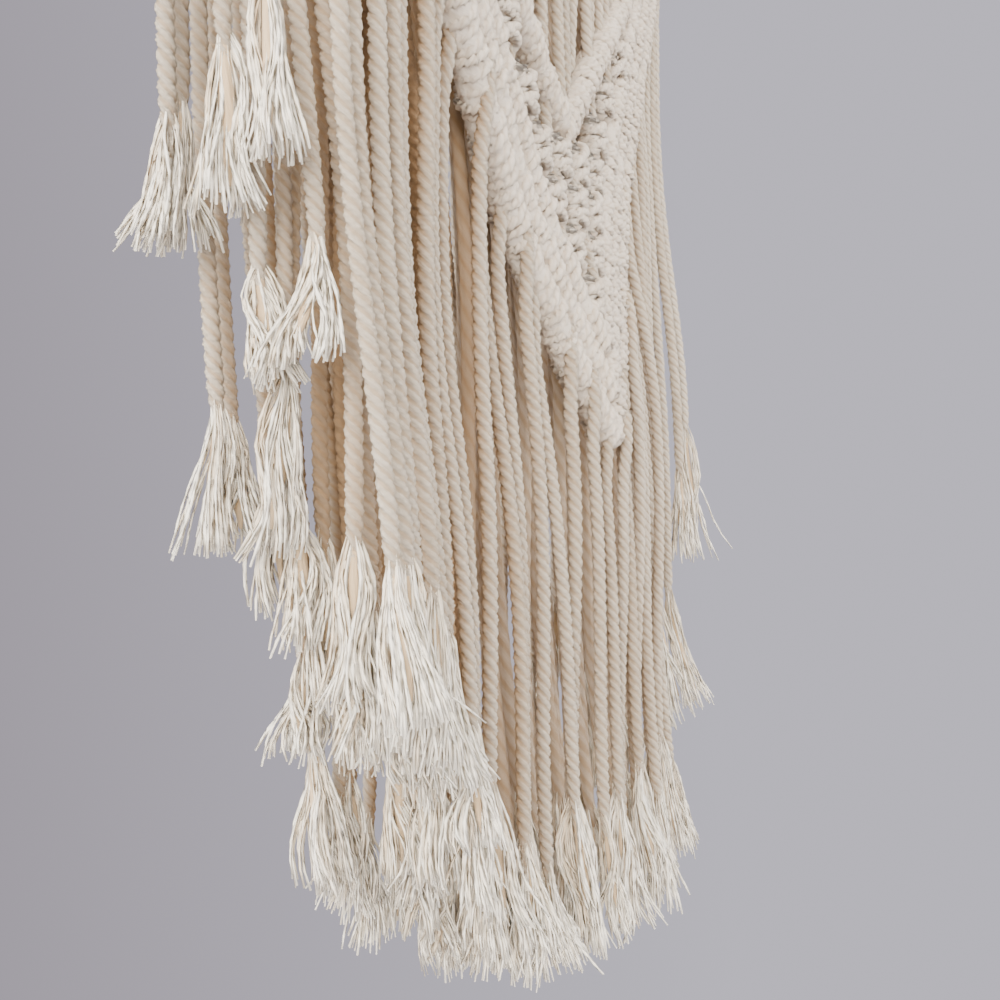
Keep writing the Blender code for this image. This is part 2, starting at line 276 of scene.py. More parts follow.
# Name, place and power of each light.
LIGHTS = (
    ("key_light", (0.45, -1.7, 0.5), 67),
    ("fill_light", (-1.7, -0.3, 0.3), 87),
    ("back_light", (-1.2, 1.0, 0.4), 42),
)


def set_camera():
    heading = CAMERA_HEADING.normalized()
    level = Vector((heading.y, -heading.x, 0))
    forward = (heading * math.cos(CAMERA_PITCH) - Vector((0, 0, math.sin(CAMERA_PITCH)))).normalized()
    upright = level.cross(forward).normalized()
    right = level * math.cos(CAMERA_ROLL) - upright * math.sin(CAMERA_ROLL)
    up = upright * math.cos(CAMERA_ROLL) + level * math.sin(CAMERA_ROLL)
    data = bpy.data.cameras.new("studio_camera")
    data.sensor_width = CAMERA_SENSOR
    data.lens = CAMERA_LENS
    data.clip_start = CAMERA_NEAR
    camera = bpy.data.objects.new("studio_camera", data)
    bpy.context.collection.objects.link(camera)
    place = Matrix((right, up, -forward)).transposed().to_4x4()
    place.translation = CAMERA_PLACE
    camera.matrix_world = place
    bpy.context.scene.camera = camera


# ---- where the cords hang ----

def ease(share):
    share = np.clip(share, 0.0, 1.0)
    return share * share * (3 - 2 * share)


def bow_at(x):
    """Shift towards the back of the panel at places along its width."""
    shift = np.full(np.shape(x), BOW[-1][1])
    for (x0, y0), (x1, y1) in reversed(list(zip(BOW, BOW[1:]))):
        shift = np.where(x <= x1, y0 + (y1 - y0) * ease((x - x0) / (x1 - x0)), shift)
    return shift


def layer_y(layer, x, z):
    """Depth of one layer at places on it."""
    growth = ease((BOW_START - z) / (BOW_START - BOW_FULL))
    spread = SPLAY * ease((SPLAY_START - z) / (SPLAY_START - SPLAY_FULL))
    place = FRONT_Y + layer * LAYER_PITCH
    return place * (1 - spread / FRONT_Y) + BOW_SHARE[layer] * growth * bow_at(x)


def strand_x(index):
    """Place of one cord along the width: the cords hang closer together towards the sides."""
    share = (index - (STRANDS - 1) / 2) / (STRANDS / 2)
    return HALF_WIDTH * ((1 + BUNCHING) * share - BUNCHING * share ** 3)


def wave(shape, layer, index, z):
    """One wave of a cord's wander, up to 1 to either side."""
    for_height, for_cord, for_layer = shape
    return np.sin(for_height * z + for_cord * index + for_layer * layer)


def strand_route(layer, index, z):
    """Centre line of one hanging cord at a run of heights."""
    x = strand_x(index) + 0 * z
    loose = ease((HEADING_Z - WANDER_START - z) / WANDER_GROWTH)
    free = ease((from_edge(index) + 1) / DRIFT_CORDS)
    wander = []
    for sway, sway_wave, drift, (first, second) in (
            (SWAY_X, SWAY_WAVE_X, DRIFT_X, DRIFT_WAVES_X), (SWAY_Y, SWAY_WAVE_Y, DRIFT_Y, DRIFT_WAVES_Y)):
        drifting = wave(first, layer, index, z) + SECOND_WAVE * wave(second, layer, index, z)
        wander.append(sway * wave(sway_wave, layer, index, z) + free * drift * drifting)
    y = layer_y(layer, x, z) + loose * (wander[1] + edge_swing(layer, index))
    return np.stack((x + loose * wander[0], y, z), axis=1)


def from_edge(index):
    """Number of cords between one cord and the nearer side of the hanging."""
    return min(index, STRANDS - 1 - index)


def edge_swing(layer, index):
    return EDGE_SWING[layer][index] if index < len(EDGE_SWING[layer]) else 0.0


def fray_length(layer, index):
    usual = FRAY_LEFT + (FRAY_RIGHT - FRAY_LEFT) * index / (STRANDS - 1)
    return usual * (1 + FRAY_SPREAD * math.sin(FRAY_WAVE[0] * index + FRAY_WAVE[1] * layer))


def fray_lean(layer, index):
    """How far the cut end of one cord leans sideways and to the back."""
    share = strand_x(index) / HALF_WIDTH
    from_right = STRANDS - 1 - index
    more = RIGHT_LEAN[from_right] if layer == 0 and from_right < len(RIGHT_LEAN) else 0.0
    return FRAY_OUT * share ** 5, FRAY_LEAN[layer] + more


def strand_end(layer, index):
    """Height where one cord is cut."""
    height = next(row[1 + layer] for row in FRINGE_ENDS if index <= row[0])
    return V_POINT + height + END_JITTER * math.sin(END_WAVE[0] * index + END_WAVE[1] * layer)


def arm_height(x, row):
    """Centre height of one hitch row of the V."""
    return V_POINT + row * ROW_RISE + ARM_SLOPE * abs(x)


def painted_shade_of(layer, index):
    """Painted shade of a hanging cord: how deep its surface lies between the layers, from 0 on the outside to
    1.

    A surface that faces a layer which covers it is painted darker. The bow holds the layers further apart from
    the middle on, and lets in more light, so less shade is painted there.
    """
    deep_shade = ease((from_edge(index) + 1) / PAINTED_SHADE_CORDS)
    deep_shade *= 1 - OPEN_SHARE * ease((index - OPEN_FROM) / OPEN_CORDS)

    def covered(other, z):
        if not 0 <= other <= BACK_LAYERS:
            return 0.0
        near = [beside for beside in (index - 1, index, index + 1) if 0 <= beside < STRANDS]
        return deep_shade * sum(ease((z - strand_end(other, beside)) / PAINTED_SHADE_FADE) for beside in near) / 3

    def shelter(z, facing):
        return covered(layer - 1, z) * (0.5 - 0.5 * facing) + covered(layer + 1, z) * (0.5 + 0.5 * facing)

    return shelter


# ---- cords laid along routes ----

def distances(route):
    """Distance of each point of a route from its start, along it."""
    return np.concatenate(([0.0], np.cumsum(np.linalg.norm(np.diff(route, axis=0), axis=1))))


class StraightCord:
    """One straight cord of unit radius and unit lead, ready to be laid along routes.

    Its ring of points is lobed by the plies and spun up the Z axis against the clock. A coarse cord that
    stands for a hidden one is laid at a stretch of its usual lead, so that it needs fewer rings.
    """

    def __init__(self, points, steps, turns, valley, crest=0.0, lobes=PLIES, stretch=1):
        mesh = bmesh.new()
        bmesh.ops.create_circle(mesh, cap_ends=False, segments=points, radius=1.0)
        crest_angle = math.pi / 2 + crest
        for vert in mesh.verts:
            lobe = math.cos(lobes * (math.atan2(vert.co.y, vert.co.x) - crest_angle))
            vert.co *= valley + (1 - valley) * (0.5 + 0.5 * lobe) ** PLY_ROUNDNESS
        start = np.array([vert.co for vert in mesh.verts])
        bmesh.ops.spin(
            mesh, geom=mesh.edges[:], cent=(0, 0, 0), axis=(0, 0, 1), dvec=(0, 0, 1 / steps),
            angle=-2 * math.pi * turns, steps=steps * turns, use_merge=False, use_duplicate=False)
        bmesh.ops.recalc_face_normals(mesh, faces=mesh.faces[:])
        mesh.verts.index_update()
        self.points = points
        self.steps = steps
        self.stretch = stretch
        self.place = np.array([vert.co for vert in mesh.verts])
        quads = np.array([[vert.index for vert in face.verts] for face in mesh.faces])
        self.quads = quads[np.lexsort(quads.T[::-1])]      # the spin gives its faces in no fixed order
        self.top_index = self.quads.max(axis=1)
        middle = np.array(mesh.faces[0].calc_center_median())
        if np.dot(np.array(mesh.faces[0].normal)[:2], middle[:2]) < 0:
            self.quads = self.quads[:, ::-1]
        mesh.free()
        angle = np.arctan2(self.place[:, 1], self.place[:, 0])
        unspun = angle + 2 * math.pi * self.place[:, 2]
        reach = np.hypot(self.place[:, 0], self.place[:, 1])
        self.lay = np.stack((reach * np.cos(unspun), reach * np.sin(unspun)), axis=1)
        ring = np.hypot(start[:, 0], start[:, 1])
        self.groove = (ring.max() - reach) / max(NOTHING, ring.max() - ring.min())


class CordWork:
    """Gathers the cords of one piece and makes them one mesh."""

    def __init__(self):
        self.count = 0
        self.points = []
        self.faces = []
        self.lay = []
        self.groove = []
        self.tone = []
        self.tip = []
        self.painted_shade = []

    def add(self, cord, route, radius, lead, across, turn=0.0, tone=0.5, offset=0.0, slim=None, shelter=None):
        """Lay one cord along a route, an array of points. Across is a direction never along the route.

        It makes one turn if it has no lead. Its painted shade, how much darker its surface is painted for
        lying inside the hanging, is a number, or a function of height and of how much the surface faces the
        back.
        """
        along = distances(route)
        lead = lead * cord.stretch if lead else along[-1]
        rings = max(2, int(round(along[-1] / lead * cord.steps)) + 1)
        count = rings * cord.points
        share = cord.place[:count, 2] * cord.steps / (rings - 1)
        height = share * along[-1]
        centre = np.stack([np.interp(height, along, route[:, axis]) for axis in range(3)], axis=1)
        slope = np.gradient(route, along, axis=0)
        ahead = np.stack([np.interp(height, along, slope[:, axis]) for axis in range(3)], axis=1)
        ahead /= np.linalg.norm(ahead, axis=1)[:, None]
        side = np.asarray(across) - (ahead @ np.asarray(across))[:, None] * ahead
        side /= np.linalg.norm(side, axis=1)[:, None]
        front = np.cross(ahead, side)
        swell = radius * (slim(share) if slim else 1.0) * np.ones(count)
        x, y = cord.place[:count, 0], cord.place[:count, 1]
        x, y = x * math.cos(turn) - y * math.sin(turn), x * math.sin(turn) + y * math.cos(turn)
        outward = x[:, None] * side + y[:, None] * front
        self.points.append(centre + swell[:, None] * outward)
        facing = outward[:, 1] / np.linalg.norm(outward, axis=1)
        # Painted shade: how much darker the surface is painted for lying inside the hanging.
        painted_shade = shelter(centre[:, 2], facing) if callable(shelter) else np.full(count, shelter or 0.0)
        self.painted_shade.append(painted_shade)
        faces = cord.quads[cord.top_index < count] + self.count
        self.faces.extend(faces.tolist())
        for ring, winding in ((0, -1), (rings - 1, 1)):
            members = np.arange(ring * cord.points, (ring + 1) * cord.points)
            order = np.argsort(np.arctan2(cord.place[members, 1], cord.place[members, 0]))
            self.faces.append((members[order][::winding] + self.count).tolist())
        lay = cord.lay[:count] * radius / MILLIMETRE
        self.lay.append(np.column_stack((lay + offset, height / MILLIMETRE / LAY_LENGTH)))
        self.groove.append(cord.groove[:count])
        self.tone.append(np.full(count, tone))
        self.tip.append(share)
        self.count += count

    def piece(self, name, material, *nodes, slot):
        """Make the piece. It stands for the given nodes of the frame and rides with the hanging."""
        data = bpy.data.meshes.new(name)
        data.from_pydata(np.concatenate(self.points).tolist(), [], self.faces)
        data.polygons.foreach_set("use_smooth", np.ones(len(data.polygons), dtype=bool))
        for label, kind, values in (
                ("lay", 'FLOAT_VECTOR', np.concatenate(self.lay)),
                ("groove", 'FLOAT', np.concatenate(self.groove)),
                ("tone", 'FLOAT', np.concatenate(self.tone)),
                ("tip", 'FLOAT', np.concatenate(self.tip)),
                # Painted shade, darker deep inside the hanging.
                ("painted_shade", 'FLOAT', np.concatenate(self.painted_shade))):
            attribute = data.attributes.new(label, kind, 'POINT')
            key = "vector" if kind == 'FLOAT_VECTOR' else "value"
            attribute.data.foreach_set(key, values.astype(np.float32).ravel())
        data.materials.append(material)
        data.update()
        thing = bpy.data.objects.new(name, data)
        bpy.context.collection.objects.link(thing)
        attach(thing, "root")
        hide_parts(*nodes)


# With nine points a ring, each groove has a point and each ply two at its crest.
NINE_POINT_CREST = math.radians(20)
WRAP_VALLEY = 0.82           # like PLY_VALLEY, for a cord in a knot, which is pulled smooth
HIDDEN_VALLEY = 0.90         # and for one that hardly shows
# Points in a ring, rings in a lead, leads, and the valley.
FINE_CORD = StraightCord(12, 8, 44, PLY_VALLEY)
PLAIN_CORD = StraightCord(9, 5, 44, PLY_VALLEY, NINE_POINT_CREST)
HIDDEN_CORD = StraightCord(6, 8, 22, HIDDEN_VALLEY, stretch=2)
WRAP_CORD = StraightCord(9, 4, 8, WRAP_VALLEY, NINE_POINT_CREST)
HEADING_CORD = StraightCord(6, 8, 4, WRAP_VALLEY, stretch=2)
ROW_CORE_CORD = StraightCord(9, 6, 48, HIDDEN_VALLEY, NINE_POINT_CREST)
BRUSH_CORE = StraightCord(3 * CORE_YARNS, CORE_STEPS, 1, WRAP_VALLEY, lobes=CORE_YARNS)
YARN = StraightCord(3, YARN_STEPS, 1, 1.0)


# ---- materials ----

class Socket:
    """A node's output, with the arithmetic of the shader written as Python expressions."""

    def __init__(self, shader, output):
        self.shader = shader
        self.output = output

    def math(self, operation, *values):
        inputs = {place: value for place, value in enumerate(values)}
        return self.shader.node("ShaderNodeMath", {"operation": operation}, inputs)

    def __add__(self, other):
        return self.math('ADD', self, other)

    def __radd__(self, other):
        return self.math('ADD', other, self)

    def __sub__(self, other):
        return self.math('SUBTRACT', self, other)

    def __rsub__(self, other):
        return self.math('SUBTRACT', other, self)

    def __rmul__(self, other):
        return self.math('MULTIPLY', other, self)

    def __pow__(self, other):
        return self.math('POWER', self, other)

    def held(self):
        """The value kept between nought and one."""
        return self.shader.node("ShaderNodeMath", {"operation": 'ADD', "use_clamp": True}, {0: self, 1: 0.0})


class Finish:
    """One material and the nodes in it."""

    def __init__(self, name, roughness, sheen, sheen_tint):
        self.material = bpy.data.materials.new(name)
        self.material.use_nodes = True
        self.nodes = self.material.node_tree.nodes
        self.links = self.material.node_tree.links
        self.surface = self.nodes["Principled BSDF"]
        self.surface.inputs["Roughness"].default_value = roughness
        self.surface.inputs["Metallic"].default_value = 0.0
        self.surface.inputs["Specular IOR Level"].default_value = 0.2
        self.surface.inputs["Sheen Weight"].default_value = sheen
        self.surface.inputs["Sheen Roughness"].default_value = 0.6
        self.surface.inputs["Sheen Tint"].default_value = (*sheen_tint, 1)

    def node(self, kind, settings, inputs, output=0):
        made = self.nodes.new(kind)
        for key, value in settings.items():
            setattr(made, key, value)
        for key, value in inputs.items():
            self.feed(made.inputs[key], value)
        return Socket(self, made.outputs[output])

    def feed(self, socket, value):
        if isinstance(value, Socket):
            self.links.new(value.output, socket)
        else:
            socket.default_value = value

    def attribute(self, name, output="Fac"):
        return self.node("ShaderNodeAttribute", {"attribute_name": name}, {}, output)

    def noise(self, place, scale, detail=2.0, roughness=0.5):
        inputs = {"Vector": place, "Scale": scale, "Detail": detail, "Roughness": roughness}
        return self.node("ShaderNodeTexNoise", {"noise_dimensions": '3D'}, inputs, "Fac")

    def blend(self, share, first, second):
        inputs = {0: share, 6: first, 7: second}
        return self.node("ShaderNodeMix", {"data_type": 'RGBA', "clamp_factor": True}, inputs, 2)

    def bump(self, height, strength, distance):
        inputs = {"Height": height, "Strength": strength, "Distance": distance}
        self.feed(self.surface.inputs["Normal"], self.node("ShaderNodeBump", {}, inputs, "Normal"))

    def colour(self, colours, shade_and_tone, deep_shade):
        """Paint light and shade into the colour: from the lit to the shaded colour by its shade and tone, and
        towards the deep shade colour by its painted deep shade.
        """
        lit, shaded, deep = ((*colour, 1) for colour in colours)
        body = self.blend(shade_and_tone.held(), lit, shaded)
        self.feed(self.surface.inputs["Base Color"], self.blend(deep_shade.held(), body, deep))


def around_zero(value):
    """A value between nought and one, turned over and moved so that its mean is nought."""
    return 0.5 - value


def cord_cotton(name, colours, relief):
    """Undyed cotton cord: fibres run along the plies, and painted shade makes the grooves between them, and
    surfaces deep between the layers, warmer and darker.
    """
    finish = Finish(name, COTTON_ROUGHNESS, sheen=0.1, sheen_tint=(1.0, 0.93, 0.84))
    lay = finish.attribute("lay", "Vector")
    groove = finish.attribute("groove")
    tone = finish.attribute("tone")
    painted_shade = finish.attribute("painted_shade")
    place = finish.node("ShaderNodeTexCoord", {}, {}, "Object")
    fibres = finish.noise(lay, scale=1.7, detail=5.0, roughness=0.75)
    fine_fibres = finish.noise(lay, scale=7.0, detail=2.0)
    patches = finish.noise(place, scale=60.0, detail=3.0, roughness=0.55)
    # Painted shade in the grooves between the plies, with the random tone of the cord, its fibres and patches.
    shade_and_tone = 0.10 + 1.5 * groove ** 2.0 + 0.5 * around_zero(tone)
    shade_and_tone = shade_and_tone + 2.0 * around_zero(fibres) + 0.9 * around_zero(patches)
    # Painted shade deep between the layers, and a little more in the grooves.
    deep_shade = 0.15 * groove ** 3.0 + painted_shade ** 1.1
    finish.colour(colours, shade_and_tone, deep_shade)
    finish.bump(fibres + 0.5 * fine_fibres, strength=0.9, distance=relief)
    return finish.material


def tassel_cotton(name, colours, relief):
    """Unravelled yarns: paler and softer than the cord, with fine streaks, and painted shade that makes them
    warmer and darker deep in a brush.
    """
    finish = Finish(name, COTTON_ROUGHNESS, sheen=0.2, sheen_tint=(1.0, 0.95, 0.87))
    lay = finish.attribute("lay", "Vector")
    groove = finish.attribute("groove")
    tone = finish.attribute("tone")
    painted_shade = finish.attribute("painted_shade")
    tip = finish.attribute("tip")
    streaks = finish.noise(lay, scale=3.2, detail=3.0, roughness=0.6)
    # Painted shade: darker deep in a brush and in the grooves of its core; the colour also grows lighter
    # towards the cut, and varies with the streaks and the yarns' random tone.
    shade_and_tone = 0.22 + 0.8 * around_zero(streaks) + 0.7 * around_zero(tone)
    shade_and_tone = shade_and_tone + 0.9 * painted_shade + 0.5 * groove ** 2.0 - 0.4 * tip
    # Painted deep shade, for the core and the yarns deepest in a brush.
    deep_shade = 0.8 * painted_shade ** 5.0
    finish.colour(colours, shade_and_tone, deep_shade)
    finish.bump(streaks, strength=0.6, distance=relief)
    return finish.material


# ---- the pieces of the hanging ----

FINE_FRONT_STRANDS = 18      # cords from the left edge that are laid with more points, in the front panel
FINE_STRANDS = 9             # and in a back layer
LAST_STRANDS = 4             # cords at the right edge that show in every layer
ROUTE_STEP = 0.005
SHOULDER = 0.0022            # how far a cord stands out of the lowest hitch row where it leaves it
SHOULDER_START = 0.006       # length in which it does, under the row
SHOULDER_FADE = 0.02         # and length in which it falls back to its place
ROW_GRIP = 0.002             # how far into the row it goes up


def laid_at_random(rng, least_tone=0.0, most_tone=1.0, most_turn=6):
    """Random turn, tone and place in the pattern of fibres for one cord."""
    return {
        "turn": rng.uniform(0, most_turn), "tone": rng.uniform(least_tone, most_tone),
        "offset": rng.uniform(0, COLOUR_SPAN)}


def route_length(route):
    return distances(route)[-1]


def hanging_cord(work, rng, cord, layer, index, top, bottom, loosens, shoulder=0.0):
    """One stretch of a hanging cord. It draws in where it loosens into its unravelled end."""
    heights = np.linspace(top, bottom, max(4, int((top - bottom) / ROUTE_STEP)))
    route = strand_route(layer, index, heights)
    route[:, 1] -= shoulder * (1 - ease((top - heights - SHOULDER_START) / SHOULDER_FADE))
    length = route_length(route)

    def drawn_in(share):
        return 1 - loosens * DRAWN_IN * ease(1 - (1 - share) * length / UNLAY)

    # Its painted shade: darker the deeper it hangs between the layers.
    work.add(
        cord, route, CORD / 2 * (1 + CORD_UNEVEN * rng.uniform(-1, 1)), CORD_LEAD, (1, 0, 0), slim=drawn_in,
        shelter=painted_shade_of(layer, index), **laid_at_random(rng, most_turn=2 * math.pi))


def loose_end(layer, index):
    """Height where the last of a cord's plies has come apart."""
    return strand_end(layer, index) + fray_length(layer, index) - UNLAY / 2


def front_strands(work, rng):
    """The front panel's cords above the V's rows and below them."""
    for index in range(STRANDS):
        x = strand_x(index)
        cord = FINE_CORD if index < FINE_FRONT_STRANDS else PLAIN_CORD
        hanging_cord(work, rng, cord, 0, index, HEADING_Z, arm_height(x, ARM_ROWS - 1), 0)
        top = arm_height(x, 0) + ROW_GRIP
        hanging_cord(work, rng, cord, 0, index, top, loose_end(0, index), 1, SHOULDER)


def back_strands(work, rng, layer):
    """A back layer's cords. Those that other layers cover on both sides are coarse."""
    for index in range(STRANDS):
        covered = layer < BACK_LAYERS and FINE_STRANDS <= index < STRANDS - LAST_STRANDS
        cord = HIDDEN_CORD if covered else FINE_CORD if index < FINE_STRANDS else PLAIN_CORD
        hanging_cord(work, rng, cord, layer, index, HEADING_Z, loose_end(layer, index), 1)


def core_swell(share):
    """The dense core of a brush widens with its yarns and draws in just before the cut."""
    drawn_in = CORE_CLOSED * ease((share - CORE_CLOSES) / (1 - CORE_CLOSES))
    return (CORE_ROOT + CORE_GROWTH * share) * (1 - drawn_in)


def yarn_taper(share):
    """A yarn is thin where it leaves its ply, and its last fibres part at the cut."""
    thickness = YARN_ROOT + (1 - YARN_ROOT) * ease(YARN_SWELL * share) + YARN_GROWTH * share
    return thickness * (1 - YARN_THINS * ease((share - YARN_PARTS) / (1 - YARN_PARTS)))


def unravelled_end(work, rng, layer, index, clump_yarns):
    """One brush: a dense core of yarns, and loose clumps over it that keep a wave and spread to the cut."""
    fray = fray_length(layer, index)
    root = strand_end(layer, index) + fray
    lean = np.array(fray_lean(layer, index))
    if layer > 1:
        # Only the outermost brushes of the rear layers lean to the back.
        lean[1] *= 1 - ease((from_edge(index) - UPRIGHT_FROM) / UPRIGHT_CORDS)
    lean += rng.normal(0, BRUSH_LEAN, 2)
    tip = BRUSH_TIP * rng.uniform(*BRUSH_UNEVEN) * (WIDE_BRUSHES if index < LEFT_BRUSHES else 1)
    share = np.linspace(0, 1, 3 * YARN_STEPS + 1)
    # Painted shade of whole brushes behind the front ones.
    behind_shade = BEHIND_SHADE * ease((from_edge(index) + 1) / BEHIND_SHADE_CORDS) if layer else 0.0

    def leaning(heights):
        route = strand_route(layer, index, heights)
        route[:, :2] += np.outer(share ** LEAN_CURVE, lean)
        return route

    core = leaning(root + CORE_TUCK - (fray * CORE_LENGTH + CORE_TUCK) * share)
    # The core is painted in the deep shade colour: it stands for the shade between the yarns.
    work.add(
        BRUSH_CORE, core, BRUSH_ROOT * tip / BRUSH_TIP, CORE_LEAD, (1, 0, 0), slim=core_swell, shelter=1.0,
        **laid_at_random(rng, 0.2, 0.8))
    for clump in range(CLUMPS):
        bearing = 2 * math.pi * (clump + rng.uniform(-CLUMP_PLACE, CLUMP_PLACE)) / CLUMPS
        spread = tip * rng.uniform(*CLUMP_SPREAD)
        opening = rng.uniform(*CLUMP_OPENING)
        wave_start = rng.uniform(0, 2 * math.pi)
        curl = np.outer(np.sin(math.pi * share * rng.uniform(*CURL_HALF_WAVES)), rng.normal(0, CLUMP_CURL, 2))
        for _ in range(clump_yarns):
            angle = bearing + rng.normal(0, CLUMP_WIDTH)
            inset = math.sqrt(rng.uniform(*YARN_INSET))
            start = root + YARN_TUCK - YARN_START * rng.uniform(0, 1)
            drop = start - (root - fray) + rng.uniform(*CUT_UNEVEN)
            wild = rng.uniform() < WILD_SHARE
            swing = YARN_WAVE * (WILD_WAVE if wild else rng.uniform(*TAME_WAVE)) * ease(3 * share)
            turn = 2 * math.pi * share * drop / YARN_WAVE_LENGTH + wave_start + rng.normal(0, YARN_PHASE)
            out = inset * (BRUSH_ROOT + (spread - BRUSH_ROOT) * share ** opening)
            stray = rng.normal(0, WILD_STRAY if wild else YARN_STRAY, 2)
            # Painted shade of a yarn: deeper in its clump, where it faces the next layer, and in brushes
            # behind.
            facing_back = max(0, math.sin(angle)) if layer < BACK_LAYERS else 0
            painted_yarn_shade = behind_shade + INSET_PAINTED_SHADE * (1 - inset) + BETWEEN_LAYERS_SHADE * facing_back
            route = leaning(start - drop * share)
            route[:, :2] += curl + np.outer(share ** 2, stray)
            route[:, 0] += out * math.cos(angle) + swing * np.cos(turn)
            route[:, 1] += out * math.sin(angle) + swing * np.sin(turn)
            work.add(
                YARN, route, YARN_RADIUS * rng.uniform(*YARN_UNEVEN), None, (1, 0, 0), slim=yarn_taper,
                shelter=painted_yarn_shade, **laid_at_random(rng))


def tassels(work, rng, layer):
    for index in range(STRANDS):
        unravelled_end(work, rng, layer, index, CLUMP_YARNS if index < FULL_BRUSHES else FEW_CLUMP_YARNS)


WRAP_POINTS = 26             # points along a turn of cord
WRAP_LAP = 0.04              # angle by which its ends pass each other
WRAP_START = 0.3             # how far from the back its ends may lie
WRAP_UNEVEN = (0.94, 1.06)


def wrap(work, rng, centre, along, radius, flat=(1.0, 1.0), lean=0.0, thick=WRAP_RADIUS, cord=WRAP_CORD):
    """One turn of cord round a core: along is the core's direction, lean tips the turn over.

    The core never runs front to back. Flat is the turn's size across it and front to back, for a flat core.
    """
    along = Vector(along).normalized()
    side = Vector((0, 1, 0)).cross(along).normalized()
    out = along.cross(side).normalized()
    start = rng.uniform(-WRAP_START, WRAP_START) - math.pi / 2
    angles = start + np.linspace(-WRAP_LAP, 2 * math.pi + WRAP_LAP, WRAP_POINTS)
    tip = math.tan(lean)
    route = []
    for angle in angles:
        across = radius * flat[0] * math.cos(angle + math.pi)
        deep = radius * flat[1] * math.sin(angle + math.pi)
        route.append(Vector(centre) + side * across + out * deep + along * (across * tip))
    work.add(
        cord, np.array(route), thick * rng.uniform(*WRAP_UNEVEN), WRAP_LEAD, tuple(along), shelter=turned_away_shade,
        **laid_at_random(rng, 0.2))


def turned_away_shade(z, facing):
    """Painted shade of a turn of cord: darker at its back, inside the knot, whatever the height."""
    return WRAP_PAINTED_SHADE * (1 + facing) + 0 * z


HITCH_SHIFT = 0.0003         # how far a hitch is off the row's middle
HITCH_SIZE = (0.92, 1.1)
HITCH_LEAN = 0.2             # angle by which the turns of a row are tipped over, and how much that varies
HITCH_LEAN_UNEVEN = 0.15
HITCH_SPAN = 0.002           # length of a row over which its direction is taken


def hitch_row(work, rng, route, wraps):
    """A row of hitches: turns of cord side by side round a holding cord."""
    along = distances(route)
    work.add(ROW_CORE_CORD, route, ROW_CORE, ROW_CORE_LEAD, (0, 1, 0), tone=CORE_TONE)
    for number in range(wraps):
        place = along[-1] * (number + 0.5) / wraps
        centre = [np.interp(place, along, route[:, axis]) for axis in range(3)]
        nearby = [np.interp(place + HITCH_SPAN, along, route[:, axis]) for axis in range(3)]
        ahead = Vector(nearby) - Vector(centre)
        centre = Vector(centre) + Vector(rng.normal(0, HITCH_SHIFT, 3))
        wrap(
            work, rng, centre, ahead, (ROW_RADIUS - WRAP_RADIUS) * rng.uniform(*HITCH_SIZE),
            lean=rng.normal(HITCH_LEAN, HITCH_LEAN_UNEVEN))


ARM_POINTS = 25              # points along an arm of the V
KITE_POINTS = 9              # along an upper edge of the kite
TOP_POINTS = 13              # and along the row that goes on from it


def row_reach(row):
    """Distance from the middle at which a hitch row meets the heading."""
    return (HEADING_Z - ARM_MARGIN - arm_height(0, row)) / ARM_SLOPE


def arm_route(side, row):
    """Centre line of one hitch row, from the V's middle out to the panel's edge or the heading."""
    xs = side * min(HALF_WIDTH - ARM_MARGIN, row_reach(row)) * np.linspace(0, 1, ARM_POINTS)
    zs = arm_height(xs, row)
    return np.stack((xs, layer_y(0, xs, zs), zs), axis=1)


def kite_route(side):
    """Centre line of one upper edge of the kite, on along the arm and up to the heading."""
    share = np.linspace(0, 1, KITE_POINTS)
    low = V_POINT + KITE_TOP
    outer = side * np.linspace(KITE_WIDTH, row_reach(ARM_ROWS), TOP_POINTS)[1:]
    xs = np.concatenate((side * KITE_WIDTH * share, outer))
    zs = np.concatenate((low + (arm_height(KITE_WIDTH, ARM_ROWS) - low) * share, arm_height(outer, ARM_ROWS)))
    return np.stack((xs, layer_y(0, xs, zs), zs), axis=1)


def v_rows(work, rng):
    """The hitched rows of the V and of the kite's upper edges."""
    for side in (-1, 1):
        routes = [arm_route(side, row) for row in range(ARM_ROWS)] + [kite_route(side)]
        for route in routes:
            hitch_row(work, rng, route, int(route_length(route) / WRAP_PITCH))


FILLER_PLACE = 0.42          # place of a square knot's two fillings, as a share of its half width
FILLER_RADIUS = 0.78         # their radius, as a share of the knot's half depth
FILLER_PAST = 0.002          # how far they go on over and under the knot
FILLER_POINTS = 8
FILLER_END = 0.45            # their radius at the ends, as a share of it at the middle
FILLER_ROUNDING = 5          # they are rounded off over one part in so many of their length
TURNS_SPAN = 0.8             # the part of a knot's height that its turns take up
TURN_LEAN = 0.3              # angle by which they are tipped, and how much that varies
TURN_LEAN_UNEVEN = 0.1
TURN_SIZE = (0.9, 1)


def knot_filler_swell(share):
    """A square knot's filling is rounded off at its top and bottom."""
    rounded = ease(FILLER_ROUNDING * share) * ease(FILLER_ROUNDING * (1 - share))
    return FILLER_END + (1 - FILLER_END) * rounded


